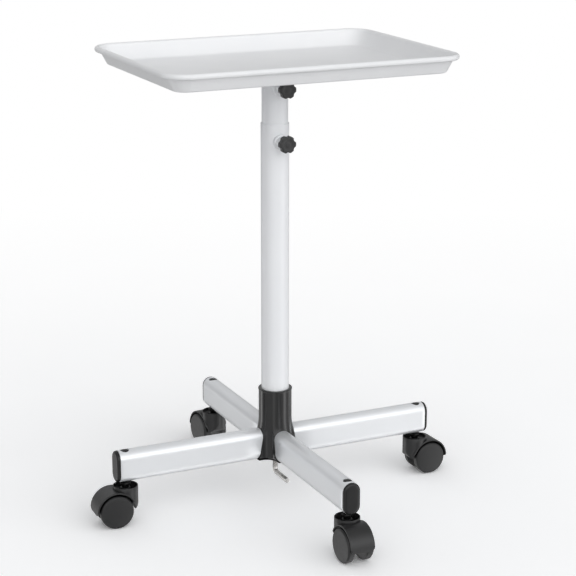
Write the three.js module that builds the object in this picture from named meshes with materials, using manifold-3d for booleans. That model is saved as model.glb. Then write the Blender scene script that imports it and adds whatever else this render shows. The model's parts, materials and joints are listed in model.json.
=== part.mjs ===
// Instrument cart: a drafted tray on a telescoping two-tube post, a moulded
// cross hub, four flat-oval base arms and four hooded twin-wheel casters.
// Millimetres, +Z up. The origin is on the post axis at floor level. +X (right) runs
// along the tray's long side and -Y (front) is the side the two star knobs face.
import * as THREE from 'three';
import { mergeVertices } from 'three/addons/utils/BufferGeometryUtils.js';
import Module from 'manifold-3d';

const wasm = await Module();
wasm.setup();

const GAP = 0.3;      // clearance between separate pieces
const OVER = 1;       // how far a cut runs past the face it opens, or a joint overlaps
const D2R = Math.PI / 180;

const FINISHES = {
  tray: { color: 0xf2f3f4, roughness: 0.38, metalness: 0.0 },
  silver: { color: 0xd9dbde, roughness: 0.42, metalness: 0.85 },
  arm: { color: 0xd2d5d9, roughness: 0.38, metalness: 0.9 },
  black: { color: 0x2b2b2c, roughness: 0.5, metalness: 0.0 },
  wheel: { color: 0x333334, roughness: 0.55, metalness: 0.0 },
  steel: { color: 0xb9bbbd, roughness: 0.3, metalness: 1.0 },
};

// ---------------------------------------------------------------- solids
// closed solid from flat position and index arrays, turned outward if it is inside out
function solidFromArrays(positions, indices) {
  const corners = [0, 1, 2].map(() => new THREE.Vector3());
  let volume = 0;
  for (let i = 0; i < indices.length; i += 3) {
    corners.forEach((corner, k) => corner.fromArray(positions, indices[i + k] * 3));
    volume += corners[0].dot(corners[1].cross(corners[2]));
  }
  const triVerts = new Uint32Array(indices);
  if (volume < 0) {
    for (let i = 0; i < triVerts.length; i += 3) {
      [triVerts[i + 1], triVerts[i + 2]] = [triVerts[i + 2], triVerts[i + 1]];
    }
  }
  const vertProperties = new Float32Array(positions);
  return new wasm.Manifold(new wasm.Mesh({ numProp: 3, vertProperties, triVerts }));
}

// solid from a three.js geometry: welds its seams and drops collapsed triangles
function solidFromGeometry(geometry) {
  geometry.deleteAttribute('normal');
  geometry.deleteAttribute('uv');
  const merged = mergeVertices(geometry, 1e-4);
  const source = merged.index.array;
  const kept = [];
  for (let i = 0; i < source.length; i += 3) {
    const [a, b, c] = source.slice(i, i + 3);
    if (a !== b && b !== c && a !== c) kept.push(a, b, c);
  }
  // leave out vertices that only collapsed triangles used
  const renumbered = new Map();
  const positions = [];
  const point = merged.attributes.position;
  const indices = kept.map((i) => {
    if (!renumbered.has(i)) {
      renumbered.set(i, renumbered.size);
      positions.push(point.getX(i), point.getY(i), point.getZ(i));
    }
    return renumbered.get(i);
  });
  return solidFromArrays(positions, indices);
}

function geometryOf(solid) {
  const mesh = solid.getMesh();
  const geometry = new THREE.BufferGeometry();
  const positions = new Float32Array(mesh.vertProperties);
  geometry.setAttribute('position', new THREE.BufferAttribute(positions, 3));
  geometry.setIndex(new THREE.BufferAttribute(new Uint32Array(mesh.triVerts), 1));
  geometry.computeVertexNormals();
  return geometry;
}

// closed loft through rings of equal point count, fan-capped at both ends
function loft(rings) {
  const count = rings[0].length;
  const lastBase = (rings.length - 1) * count;
  const positions = rings.flat().flatMap((point) => point.toArray());
  const indices = [];
  for (let base = 0; base < lastBase; base += count) {
    for (let i = 0; i < count; i++) {
      const here = base + i;
      const next = base + ((i + 1) % count);
      indices.push(here, next, next + count, here, next + count, here + count);
    }
  }
  const cap = (ring, base, flip) => {
    const centre = new THREE.Vector3();
    ring.forEach((point) => centre.add(point));
    centre.divideScalar(count);
    const hub = positions.length / 3;
    positions.push(...centre.toArray());
    for (let i = 0; i < count; i++) {
      const edge = [base + i, base + ((i + 1) % count)];
      indices.push(hub, ...(flip ? edge.reverse() : edge));
    }
  };
  cap(rings[0], 0, true);
  cap(rings.at(-1), lastBase, false);
  return solidFromArrays(positions, indices);
}

// revolves a profile of [radius, z] about Z; it starts and ends on the axis, or closes
function lathe(profile, segments) {
  const points = profile.map(([radius, z]) => new THREE.Vector2(radius, z));
  const geometry = new THREE.LatheGeometry(points, segments);
  return solidFromGeometry(geometry.rotateX(Math.PI / 2));
}
const latheRing = (profile, segments) => lathe([...profile, profile[0]], segments);

function cylinder(radius, z0, z1, segments, x = 0, y = 0) {
  const geometry = new THREE.CylinderGeometry(radius, radius, z1 - z0, segments);
  geometry.rotateX(Math.PI / 2);
  return solidFromGeometry(geometry.translate(x, y, (z0 + z1) / 2));
}

// cylinder along Y at height z
function cylinderY(radius, y0, y1, segments, z = 0) {
  const geometry = new THREE.CylinderGeometry(radius, radius, y1 - y0, segments);
  return solidFromGeometry(geometry.translate(0, (y0 + y1) / 2, z));
}

const hexagon = (acrossFlats, z0, z1) => cylinder(acrossFlats / 2 / Math.cos(30 * D2R), z0, z1, 6);

// polygon of [x, y] raised from z = 0
function extrudePolygon(points, depth) {
  const shape = new THREE.Shape(points.map(([x, y]) => new THREE.Vector2(x, y)));
  const options = { depth, bevelEnabled: false, steps: 1 };
  return solidFromGeometry(new THREE.ExtrudeGeometry(shape, options));
}

function placed(solid, matrix) {
  const geometry = geometryOf(solid).applyMatrix4(matrix);
  return solidFromArrays(geometry.attributes.position.array, geometry.index.array);
}
const turned = (solid, deg) => placed(solid, new THREE.Matrix4().makeRotationZ(deg * D2R));
const moved = (solid, x, y, z) => placed(solid, new THREE.Matrix4().makeTranslation(x, y, z));

// plan outline of [x, y], each corner an arc of the given number of steps
function roundedRectangle(halfX, halfY, radius, steps) {
  const points = [];
  for (const [sideX, sideY, start] of [[1, 1, 0], [-1, 1, 90], [-1, -1, 180], [1, -1, 270]]) {
    for (let i = 0; i <= steps; i++) {
      const angle = (start + (90 * i) / steps) * D2R;
      points.push([
        sideX * (halfX - radius) + radius * Math.cos(angle),
        sideY * (halfY - radius) + radius * Math.sin(angle),
      ]);
    }
  }
  return points;
}

// ---------------------------------------------------------------- tray and its mount
const TRAY_L = 457.2, TRAY_W = 330.6;    // over the rim bead
const BEAD_R = 4.2, BEAD_Z = 690.3;      // rim bead radius, centre height
const RIM_CORNER_R = 37.7;               // plan corner radius at the bead's outside
const MIN_CORNER_R = 6;
const TRAY_FLOOR_Z = 669.2, TRAY_BOTTOM_Z = TRAY_FLOOR_Z - 2;
const PLATE_Z0 = 658.9, PLATE_Z1 = PLATE_Z0 + 3;
const PLATE_HALF = 50, PLATE_CORNER_R = 12;
const SPIGOT_R = 17.6, SPIGOT_R_IN = 15.6, SPIGOT_Z0 = 600.0;
const TRAY_BOSS_R = 4.5, TRAY_BOSS_BORE_R = 2.3, TRAY_BOSS_Z = PLATE_Z1 + GAP;
const PLATE_HOLE_R = 2.4;
const SCREW_AT = 36;                     // screws from the post axis, along X and Y
const SCREWS = [                         // [place, x, y]
  ['front_left', -SCREW_AT, -SCREW_AT], ['back_left', -SCREW_AT, SCREW_AT],
  ['front_right', SCREW_AT, -SCREW_AT], ['back_right', SCREW_AT, SCREW_AT],
];

// [inset from the bead's outside, z]: floor, inner fillet and drafted inner wall
const TRAY_INSIDE = [
  [25.2, TRAY_FLOOR_Z], [21.6, TRAY_FLOOR_Z + 0.8], [19.3, TRAY_FLOOR_Z + 2.7],
  [18.2, TRAY_FLOOR_Z + 5.1], [9.3, BEAD_Z - 1.8],
];
// the same columns: outer wall and bottom edge
const TRAY_OUTSIDE = [
  [8.3, BEAD_Z - 4.0], [16.2, 672.4], [17.6, 669.4], [20.0, 667.7], [23.6, TRAY_BOTTOM_Z],
];
// [radius, z]
const TRAY_SCREW = [
  [0, PLATE_Z0 - 2.7], [3.0, PLATE_Z0 - 2.7], [3.9, PLATE_Z0 - 1.8], [3.9, PLATE_Z0 - GAP],
  [1.95, PLATE_Z0 - GAP], [1.95, PLATE_Z1 + 4.6], [0, PLATE_Z1 + 4.6],
];

function trayRing([inset, z]) {
  const radius = Math.max(RIM_CORNER_R - inset, MIN_CORNER_R);
  return roundedRectangle(TRAY_L / 2 - inset, TRAY_W / 2 - inset, radius, 5)
    .map(([x, y]) => new THREE.Vector3(x, y, z));
}

function traySolid() {
  // bead from its inner side over the top to its underside
  const bead = [];
  for (let deg = 165; deg >= -105; deg -= 33.75) {
    const angle = deg * D2R;
    bead.push([BEAD_R - BEAD_R * Math.cos(angle), BEAD_Z + BEAD_R * Math.sin(angle)]);
  }
  let tray = loft([...TRAY_INSIDE, ...bead, ...TRAY_OUTSIDE].map(trayRing));
  for (const [, x, y] of SCREWS) {
    tray = tray
      .add(cylinder(TRAY_BOSS_R, TRAY_BOSS_Z, TRAY_BOTTOM_Z + 0.6, 14, x, y))
      .subtract(cylinder(TRAY_BOSS_BORE_R, TRAY_BOSS_Z - OVER, TRAY_BOTTOM_Z, 10, x, y));
  }
  return tray;
}

// mounting plate under the tray floor, with a tubular spigot down into the post
function trayMountSolid() {
  const outline = roundedRectangle(PLATE_HALF, PLATE_HALF, PLATE_CORNER_R, 4);
  let mount = moved(extrudePolygon(outline, PLATE_Z1 - PLATE_Z0), 0, 0, PLATE_Z0)
    .add(cylinder(SPIGOT_R, SPIGOT_Z0, PLATE_Z0 + OVER, 32))
    .subtract(cylinder(SPIGOT_R_IN, SPIGOT_Z0 - OVER, PLATE_Z0, 32));
  for (const [, x, y] of SCREWS) {
    mount = mount.subtract(cylinder(PLATE_HOLE_R, PLATE_Z0 - OVER, PLATE_Z1 + OVER, 10, x, y));
  }
  return mount;
}

// ---------------------------------------------------------------- post
const LOWER_R = 21.0, LOWER_R_IN = 19.8, LOWER_Z0 = 119.0, LOWER_Z1 = 587.2;
const UPPER_R = 19.5, UPPER_R_IN = 18.0, UPPER_Z0 = 198.0, UPPER_Z1 = 658.5;
const LOWER_KNOB_Z = 562.0, UPPER_KNOB_Z = 641.7;
const STUD_HOLE_R = 4.5;
const BOLT_R = 4.0;
const GLIDE_R = 19.55, GLIDE_NECK_R = 17.7, GLIDE_BORE_R = 15;
const GLIDE_Z0 = 192, GLIDE_Z1 = 214;
const PLUG_R = 19.45, PLUG_Z0 = LOWER_Z0 + 0.5, PLUG_Z1 = 140.5;

const studHole = (z) => cylinderY(STUD_HOLE_R, -30, 0, 14, z);

function lowerTubeSolid() {
  return latheRing([
    [LOWER_R_IN, LOWER_Z0], [LOWER_R, LOWER_Z0], [LOWER_R, LOWER_Z1 - 1.0],
    [LOWER_R - 0.8, LOWER_Z1], [LOWER_R_IN, LOWER_Z1],
  ], 48).subtract(studHole(LOWER_KNOB_Z));
}

function upperTubeSolid() {
  return cylinder(UPPER_R, UPPER_Z0, UPPER_Z1, 48)
    .subtract(cylinder(UPPER_R_IN, UPPER_Z0 - OVER, UPPER_Z1 + OVER, 48))
    .subtract(studHole(UPPER_KNOB_Z));
}

// cup-shaped glide plugged into the foot of the upper tube
function glideSolid() {
  return lathe([
    [0, GLIDE_Z0], [19.0, GLIDE_Z0], [GLIDE_R, GLIDE_Z0 + 0.8], [GLIDE_R, UPPER_Z0 - GAP],
    [GLIDE_NECK_R, UPPER_Z0 - GAP], [GLIDE_NECK_R, GLIDE_Z1],
    [GLIDE_BORE_R, GLIDE_Z1], [GLIDE_BORE_R, GLIDE_Z0 + 4], [0, GLIDE_Z0 + 4],
  ], 28);
}

// plain ring about the Z axis
const washer = (bore, radius, z0, z1, segments) => latheRing(
  [[bore, z0], [radius, z0], [radius, z1], [bore, z1]], segments);

// ---------------------------------------------------------------- star knobs
// knob, stud and boss lie along +Z from the post axis; their group turns that to -Y
const KNOB_R = 12.9, KNOB_LOBES = 6, KNOB_POINTS = 72;
const SCALLOP_R = 4.9, SCALLOP_AT = 16.1;    // scallop centres from the knob axis
const KNOB_FACE = 47.0, KNOB_BACK = 38.0, KNOB_NECK_BACK = 31.6, KNOB_NECK_R = 7.0;
const STUD_R = 3.9, STUD_TIP_R = 3.0, STUD_END = 44, STUD_CLEARANCE = 0.2;
const BOSS_FLANGE_R = 11.5, BOSS_NECK_R = 8.5, BOSS_BORE_R = 4.3, BOSS_FACE = 31.2;
const KNOB_SIDES = [                         // [name, z, tube radius, inner tube's radius]
  ['lower', LOWER_KNOB_Z, LOWER_R, UPPER_R],
  ['upper', UPPER_KNOB_Z, UPPER_R, SPIGOT_R],
];

// ring about Z whose radius is a function of the angle
function polarRing(z, radiusAt) {
  return Array.from({ length: KNOB_POINTS }, (_, i) => {
    const angle = (2 * Math.PI * i) / KNOB_POINTS;
    const radius = radiusAt(angle);
    return new THREE.Vector3(radius * Math.cos(angle), radius * Math.sin(angle), z);
  });
}

// broad lobes with a round scallop between each pair
function lobeRadius(angle) {
  const pitch = (2 * Math.PI) / KNOB_LOBES;
  const past = (((angle - pitch / 2) % pitch) + pitch) % pitch;
  const off = Math.min(past, pitch - past);    // angle from the nearest scallop
  const reach = SCALLOP_R ** 2 - (SCALLOP_AT * Math.sin(off)) ** 2;
  if (reach <= 0) return KNOB_R;
  return Math.min(KNOB_R, SCALLOP_AT * Math.cos(off) - Math.sqrt(reach));
}

function knobSolid() {
  const neckRing = (z) => polarRing(z, () => KNOB_NECK_R);
  const lobedRing = (z, inset) => polarRing(z, (angle) => lobeRadius(angle) - inset);
  const bore = cylinder(STUD_R + STUD_CLEARANCE, KNOB_NECK_BACK - OVER,
    STUD_END + STUD_CLEARANCE, 16);
  return loft([
    neckRing(KNOB_NECK_BACK), neckRing(KNOB_BACK),
    lobedRing(KNOB_BACK, 1.0), lobedRing(KNOB_BACK + 0.9, 0),
    lobedRing(KNOB_FACE - 1.2, 0), lobedRing(KNOB_FACE - 0.3, 0.9), lobedRing(KNOB_FACE, 2.2),
  ]).subtract(bore);
}

// flanged boss, hollowed at the back to sit round the tube
function knobBossSolid(tubeR) {
  const base = tubeR - 4;
  const flangeFace = tubeR + 3.6;
  return latheRing([
    [BOSS_BORE_R, base], [BOSS_FLANGE_R, base], [BOSS_FLANGE_R, flangeFace - 1],
    [BOSS_FLANGE_R - 1.0, flangeFace], [BOSS_NECK_R, flangeFace],
    [BOSS_NECK_R, BOSS_FACE], [BOSS_BORE_R, BOSS_FACE],
  ], 24).subtract(cylinderY(tubeR + GAP, -20, 20, 48));
}

function studSolid(tip) {
  return lathe([
    [0, tip], [STUD_TIP_R, tip], [STUD_R, tip + 0.9], [STUD_R, STUD_END], [0, STUD_END],
  ], 14);
}

// ---------------------------------------------------------------- flat-oval arms
// upright flat-oval tube, round top and bottom, along +X
const ARM_H = 49.0, ARM_W = 27.3, ARM_Z = 91.4, ARM_WALL = 2.0, ARM_END = 256.2;
const INSERT_INSET = ARM_WALL + GAP;     // for what slides inside an arm
const CAP_FACE = 261.8, CAP_INSERT_IN = 234.0, CAP_INSET = 0.35;
const STEM_X = 245.5;                    // caster stem axis from the post axis
const TOP_HOLE_R = 6.75, BOTTOM_HOLE_R = 5.6;
const CAP_BORE_R = 5.3, CAP_POCKET_R = 10.3, CAP_POCKET_Z = 97;
const STEM_NUT_FLATS = 17, STEM_NUT_BORE_R = 5.15, STEM_NUT_Z1 = 105;
const ARM_BELOW = 50, ARM_ABOVE = 130;   // heights clear of the arm, for cuts

// the hub's flared part, bottom to top, as [radius, z]
const HUB_R = 25.3, HUB_SEAM_Z = 128.0, HUB_WEB_Z0 = 71.2;
const HUB_CONE = [
  [34.9, HUB_WEB_Z0], [33.2, 80], [30.8, 95], [29.2, 106], [26.9, 116], [HUB_R, HUB_SEAM_Z],
];
// [radius, z]
const HOLE_PLUG = [[0, 106.2], [8.0, 106.2], [8.0, 109.6], [6.5, 111.2], [6.5, 114.2], [0, 114.2]];
const CASTER_STEM = [
  [0, 48.5], [3.9, 48.5], [3.9, 57.6], [5.6, 57.6], [5.6, 60.9], [8.5, 60.9], [8.5, 65.8],
  [4.9, 65.8], [4.9, 105.7], [0, 105.7],
];

// bar through stations of [x, inset]; each round end has pointsPerEnd points
function ovalBar(stations, pointsPerEnd = 7) {
  return loft(stations.map(([x, inset]) => {
    const radius = ARM_W / 2 - inset;
    const straight = ARM_H / 2 - inset - radius;
    const ring = [];
    for (const [start, side] of [[0, 1], [180, -1]]) {
      for (let i = 0; i < pointsPerEnd; i++) {
        const angle = (start + (180 * i) / (pointsPerEnd - 1)) * D2R;
        const z = ARM_Z + side * straight + radius * Math.sin(angle);
        ring.push(new THREE.Vector3(x, radius * Math.cos(angle), z));
      }
    }
    return ring;
  }));
}

// tube with its inner end cut to fit round the hub's flare
function armSolid() {
  const flare = lathe([
    [0, 60], [36.4 + GAP, 60],
    ...HUB_CONE.map(([radius, z]) => [radius + GAP, z]), [0, HUB_SEAM_Z],
  ], 40);
  return ovalBar([[14, 0], [ARM_END, 0]], 9)
    .subtract(ovalBar([[10, ARM_WALL], [ARM_END + OVER, ARM_WALL]], 9))
    .subtract(flare)
    .subtract(cylinder(TOP_HOLE_R, ARM_Z, ARM_ABOVE, 18, STEM_X))
    .subtract(cylinder(BOTTOM_HOLE_R, ARM_BELOW, ARM_Z, 16, STEM_X));
}

// end cap with a long insert, bored for the stem and pocketed for its nut
function endCapSolid() {
  return ovalBar([
    [CAP_INSERT_IN, INSERT_INSET], [ARM_END + GAP, INSERT_INSET], [ARM_END + GAP, CAP_INSET],
    [CAP_FACE - 3.4, CAP_INSET], [CAP_FACE - 1.6, 0.95], [CAP_FACE - 0.5, 2.2], [CAP_FACE, 4.0],
  ])
    .subtract(cylinder(CAP_BORE_R, ARM_BELOW, 100, 14, STEM_X))
    .subtract(cylinder(CAP_POCKET_R, CAP_POCKET_Z, ARM_ABOVE, 20, STEM_X));
}

const stemNutSolid = () => hexagon(STEM_NUT_FLATS, CAP_POCKET_Z + GAP, STEM_NUT_Z1)
  .subtract(cylinder(STEM_NUT_BORE_R, 90, 110, 14));

// ---------------------------------------------------------------- hub
const HUB_TOP_Z = 178.6, HUB_RIM_R = 25.9;
const TONGUE_Z0 = 65.5, TONGUE_Z1 = 66.6, TONGUE_R = 31.5, TONGUE_CORE_R = 19;
const WEB_CUT = { distance: 39.8, radius: 14.4 };     // cutters on the diagonals
const TONGUE_CUT = { distance: 38, radius: 19 };
const HUB_SEAT_Z = 118.5, HUB_BORE_R = LOWER_R + GAP;
const BOLT_BORE_R = 4.6, NUT_RECESS_R = 13, NUT_RECESS_Z = 78;
const HUB_SPIGOT_END = 58.0;             // how far the spigots reach into the arms

// cuts an upright cylinder out on each diagonal between the arms
function cutDiagonals(solid, { distance, radius }, z0, z1) {
  return [45, 135, 225, 315].reduce((rest, deg) => {
    const x = distance * Math.cos(deg * D2R);
    const y = distance * Math.sin(deg * D2R);
    return rest.subtract(cylinder(radius, z0, z1, 28, x, y));
  }, solid);
}

function hubSolid() {
  const turning = lathe([
    [0, HUB_WEB_Z0], ...HUB_CONE,
    [HUB_R, HUB_TOP_Z - 2.8], [HUB_RIM_R, HUB_TOP_Z - 2.1], [HUB_RIM_R, HUB_TOP_Z - 0.8],
    [HUB_RIM_R - 0.8, HUB_TOP_Z], [0, HUB_TOP_Z],
  ], 40);
  // thin tongues that run a little way under the arms
  const tongues = cylinder(TONGUE_R, TONGUE_Z0, TONGUE_Z1, 28)
    .add(cylinder(TONGUE_CORE_R, TONGUE_Z0, HUB_WEB_Z0 + OVER, 28));
  let hub = cutDiagonals(turning, WEB_CUT, HUB_WEB_Z0 - 2, HUB_SEAM_Z)
    .add(cutDiagonals(tongues, TONGUE_CUT, TONGUE_Z0 - OVER, TONGUE_Z1));
  // spigots the arms slide over
  const spigot = ovalBar([
    [12, INSERT_INSET], [HUB_SPIGOT_END - 1.5, INSERT_INSET],
    [HUB_SPIGOT_END, INSERT_INSET + 1.2],
  ]);
  for (const deg of [0, 90, 180, 270]) hub = hub.add(turned(spigot, deg));
  // tube socket, bolt bore and nut recess
  return hub
    .subtract(cylinder(HUB_BORE_R, HUB_SEAT_Z, HUB_TOP_Z + OVER, 48))
    .subtract(cylinder(BOLT_BORE_R, TONGUE_Z0 - OVER, HUB_SEAT_Z + OVER, 16))
    .subtract(cylinder(NUT_RECESS_R, TONGUE_Z0 - OVER, NUT_RECESS_Z, 24));
}

// ---------------------------------------------------------------- tightening bolt
const BOLT_TOP = 139.0, BOLT_LEG_Z = 41.3, BOLT_LEG_Y = -45.6;
const BOLT_BEND = 6.0;                   // centre-line radius
const WASHER_R = 11.5, WASHER_Z0 = 75.6, WASHER_Z1 = 77.6;
const NUT_FLATS = 13, NUT_Z0 = 68.8;

// section of the bolt where its centre line has turned deg from -Z towards -Y
function boltRing(y, z, deg, radius = BOLT_R) {
  return Array.from({ length: 16 }, (_, i) => {
    const angle = (2 * Math.PI * i) / 16;
    const inPlane = radius * Math.sin(angle);
    return new THREE.Vector3(radius * Math.cos(angle),
      y + inPlane * Math.cos(deg * D2R), z - inPlane * Math.sin(deg * D2R));
  });
}

// L-shaped bolt: down the post axis, then towards -Y
function boltSolid() {
  const rings = [boltRing(0, BOLT_TOP, 0, BOLT_R * 0.8), boltRing(0, BOLT_TOP - 1, 0)];
  for (let deg = 0; deg <= 90; deg += 18) {
    const y = BOLT_BEND * (Math.cos(deg * D2R) - 1);
    const z = BOLT_LEG_Z + BOLT_BEND * (1 - Math.sin(deg * D2R));
    rings.push(boltRing(y, z, deg));
  }
  rings.push(boltRing(BOLT_LEG_Y + 1, BOLT_LEG_Z, 90));
  rings.push(boltRing(BOLT_LEG_Y, BOLT_LEG_Z, 90, BOLT_R * 0.78));
  return loft(rings);
}

const hubNutSolid = () => hexagon(NUT_FLATS, NUT_Z0, WASHER_Z0 - GAP)
  .subtract(cylinder(BOLT_R + 0.15, 60, 90, 16));

// ---------------------------------------------------------------- casters
// local frame: stem axis at x = y = 0, wheels trail towards +X
const WHEEL_R = 25.4, TRAIL = 18.6, WHEEL_IN = 10.5, WHEEL_OUT = 22.2;
const WHEEL_HUB_R = 6.8, WHEEL_HUB_IN = 3.2;   // each wheel's hub reaches in to the web
const AXLE_R = 2.5, AXLE_BORE_R = 2.7, AXLE_HALF = 18.0;
const WHEEL_BORE_END = AXLE_HALF + 0.5;
const CUP_R = 18.85, CUP_R_IN = 17.6, CUP_TOP = 60.2, CUP_BOTTOM = 25.6, CUP_FLOOR = 48.5;
const STEM_BOSS_R = 7.6, STEM_BOSS_Z0 = 44, STEM_BOSS_Z1 = 57.2, STEM_BOSS_CUT_R = 26.6;
const STEM_BORE_R = 4.2, STEM_BORE_Z0 = 48.2;
const WEB_HALF = 2.6, WEB_BOSS_R = 6.5, WEB_OVERLAP = 0.6;
const HOOD_R = 30.6, HOOD_R_IN = 28.5, HOOD_HALF = 19.2;
const HOOD_REAR = -5, HOOD_FRONT = 174;  // degrees about the axle, 0 = trailing side
const HOOD_ENDS = [                      // [angle, 1 trailing or -1 front, corner cut-back]
  [HOOD_REAR, 1, 6.5], [HOOD_FRONT, -1, 9.5],
];
const CORNER_CUT_R = 25, CORNER_CUT_DEPTH = 9; // where a corner cut starts, its radial depth

// [x, z] side outline of the cup: the front wall rounds in under the hood's front end
const CUP_SIDE = [
  [-22, 62], [-22, 41], [-CUP_R, 41], [-18.3, 37], [-17, 33.5], [-14.9, 30.4], [-12, 28.2],
  [-8, CUP_BOTTOM], [22, CUP_BOTTOM], [22, 62],
];

// [x, z] points about the axle
const arc = (radius, from, to, steps) => Array.from({ length: steps + 1 }, (_, i) => {
  const angle = (from + ((to - from) * i) / steps) * D2R;
  return [TRAIL + radius * Math.cos(angle), WHEEL_R + radius * Math.sin(angle)];
});

// polygon of [x, z] extruded to half its thickness either side of y = 0
function uprightPlate(points, half) {
  const standing = new THREE.Matrix4().makeRotationX(Math.PI / 2);    // depth along -Y
  return moved(placed(extrudePolygon(points, 2 * half), standing), 0, half, 0);
}

const aboutAxle = (radius, half, segments) => moved(
  cylinderY(radius, -half, half, segments), TRAIL, 0, WHEEL_R);

// wedge that takes off one end corner of the hood
function hoodCorner([deg, end, cutBack], side) {
  const angle = deg * D2R;
  const outward = new THREE.Vector3(end * Math.sin(angle), 0, -end * Math.cos(angle));
  const radial = new THREE.Vector3(Math.cos(angle), 0, Math.sin(angle));
  const matrix = new THREE.Matrix4()
    .makeBasis(outward, new THREE.Vector3(0, side, 0), radial)
    .setPosition(TRAIL + CORNER_CUT_R * radial.x, 0, WHEEL_R + CORNER_CUT_R * radial.z);
  const outline = [
    [-cutBack - OVER, HOOD_HALF + OVER],
    [OVER, HOOD_HALF - cutBack - OVER],
    [OVER, HOOD_HALF + OVER],
  ];
  return placed(extrudePolygon(outline, CORNER_CUT_DEPTH), matrix);
}

function hoodSolid() {
  let shell = uprightPlate([
    ...arc(HOOD_R, HOOD_REAR, HOOD_FRONT, 18), ...arc(HOOD_R_IN, HOOD_FRONT, HOOD_REAR, 18),
  ], HOOD_HALF);
  for (const end of HOOD_ENDS) {
    for (const side of [1, -1]) shell = shell.subtract(hoodCorner(end, side));
  }
  const cup = cylinder(CUP_R, CUP_BOTTOM, CUP_TOP, 32)
    .intersect(uprightPlate(CUP_SIDE, 22))
    .subtract(cylinder(CUP_R_IN, CUP_FLOOR, CUP_TOP + OVER, 32))
    .subtract(aboutAxle(HOOD_R_IN, 40, 36));
  const stemBoss = cylinder(STEM_BOSS_R, STEM_BOSS_Z0, STEM_BOSS_Z1, 16)
    .subtract(aboutAxle(STEM_BOSS_CUT_R, 40, 36));
  // web that carries the axle, with a round boss about it
  const webEdge = arc(HOOD_R_IN + WEB_OVERLAP, HOOD_REAR, HOOD_FRONT, 18);
  const web = uprightPlate([[TRAIL, WHEEL_R], ...webEdge], WEB_HALF)
    .add(uprightPlate(arc(WEB_BOSS_R, 0, 330, 11), WEB_HALF));
  return cup.add(stemBoss).add(shell).add(web)
    .subtract(cylinder(STEM_BORE_R, STEM_BORE_Z0, CUP_TOP + OVER, 14))
    .subtract(aboutAxle(AXLE_BORE_R, 10, 12));
}

// revolved about Z with the domed outer face at the top
function wheelSolid() {
  return lathe([
    [0, WHEEL_BORE_END], [AXLE_BORE_R, WHEEL_BORE_END], [AXLE_BORE_R, WHEEL_HUB_IN],
    [WHEEL_HUB_R, WHEEL_HUB_IN], [WHEEL_HUB_R, WHEEL_IN], [24.8, WHEEL_IN], [WHEEL_R, 11.1],
    [WHEEL_R, 18.2], [24.3, 20.4], [16, 21.7], [0, WHEEL_OUT],
  ], 28);
}

// ---------------------------------------------------------------- assembly
// [name, arm heading, heading of the caster's trailing side], degrees from +X
const CORNERS = [
  ['front', 270, -88.5], ['right', 0, 2.0], ['back', 90, 96.5], ['left', 180, 177.3],
];

const cart = new THREE.Group();
cart.name = 'instrument_cart';

function add(name, solid, finish, parent = cart, position = [0, 0, 0]) {
  const material = new THREE.MeshStandardMaterial(FINISHES[finish]);
  const mesh = new THREE.Mesh(geometryOf(solid), material);
  mesh.name = name;
  mesh.position.set(...position);
  parent.add(mesh);
  return mesh;
}

function addGroup(name, parent, position) {
  const group = new THREE.Group();
  group.name = name;
  group.position.set(...position);
  parent.add(group);
  return group;
}

add('tray', traySolid(), 'tray');
add('tray_mount', trayMountSolid(), 'silver');
const screw = lathe(TRAY_SCREW, 10);
for (const [place, x, y] of SCREWS) add(`tray_screw_${place}`, screw, 'steel', cart, [x, y, 0]);

add('lower_post_tube', lowerTubeSolid(), 'silver');
add('upper_post_tube', upperTubeSolid(), 'silver');
add('post_glide', glideSolid(), 'black');
// plug in the foot of the lower tube, round the bolt
add('post_plug', washer(BOLT_R + GAP, PLUG_R, PLUG_Z0, PLUG_Z1, 28), 'steel');

for (const [name, z, tubeR, innerR] of KNOB_SIDES) {
  const side = addGroup(`${name}_knob_side`, cart, [0, 0, z]);
  side.rotation.x = Math.PI / 2;
  add(`${name}_knob_boss`, knobBossSolid(tubeR), 'silver', side);
  add(`${name}_knob_stud`, studSolid(innerR + 0.2), 'steel', side);
  add(`${name}_star_knob`, knobSolid(), 'black', side);
}

add('cross_hub', hubSolid(), 'black');
add('hub_l_bolt', boltSolid(), 'steel');
add('hub_washer', washer(BOLT_R + GAP, WASHER_R, WASHER_Z0, WASHER_Z1, 20), 'steel');
add('hub_nut', hubNutSolid(), 'steel');

const arm = armSolid();
const endCap = endCapSolid();
const stemNut = stemNutSolid();
const holePlug = lathe(HOLE_PLUG, 16);
const stem = lathe(CASTER_STEM, 14);
const hood = hoodSolid();
const axle = cylinderY(AXLE_R, -AXLE_HALF, AXLE_HALF, 12);
const wheel = wheelSolid();
const atStem = [STEM_X, 0, 0];
const atAxle = [TRAIL, 0, WHEEL_R];
for (const [name, heading, trailing] of CORNERS) {
  const corner = addGroup(`${name}_corner`, cart, [0, 0, 0]);
  corner.rotation.z = heading * D2R;
  add(`arm_${name}`, arm, 'arm', corner);
  add(`arm_end_cap_${name}`, endCap, 'black', corner);
  add(`stem_nut_${name}`, stemNut, 'steel', corner, atStem);
  add(`arm_hole_plug_${name}`, holePlug, 'black', corner, atStem);
  add(`caster_stem_${name}`, stem, 'steel', corner, atStem);

  const caster = addGroup(`${name}_caster`, corner, atStem);
  caster.rotation.z = (trailing - heading) * D2R;
  add(`caster_hood_${name}`, hood, 'black', caster);
  add(`caster_axle_${name}`, axle, 'steel', caster, atAxle);
  // wheels laid on their sides, domed faces outward
  add(`caster_wheel_${name}_a`, wheel, 'wheel', caster, atAxle).rotation.x = -Math.PI / 2;
  add(`caster_wheel_${name}_b`, wheel, 'wheel', caster, atAxle).rotation.x = Math.PI / 2;
}

export default cart;
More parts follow.
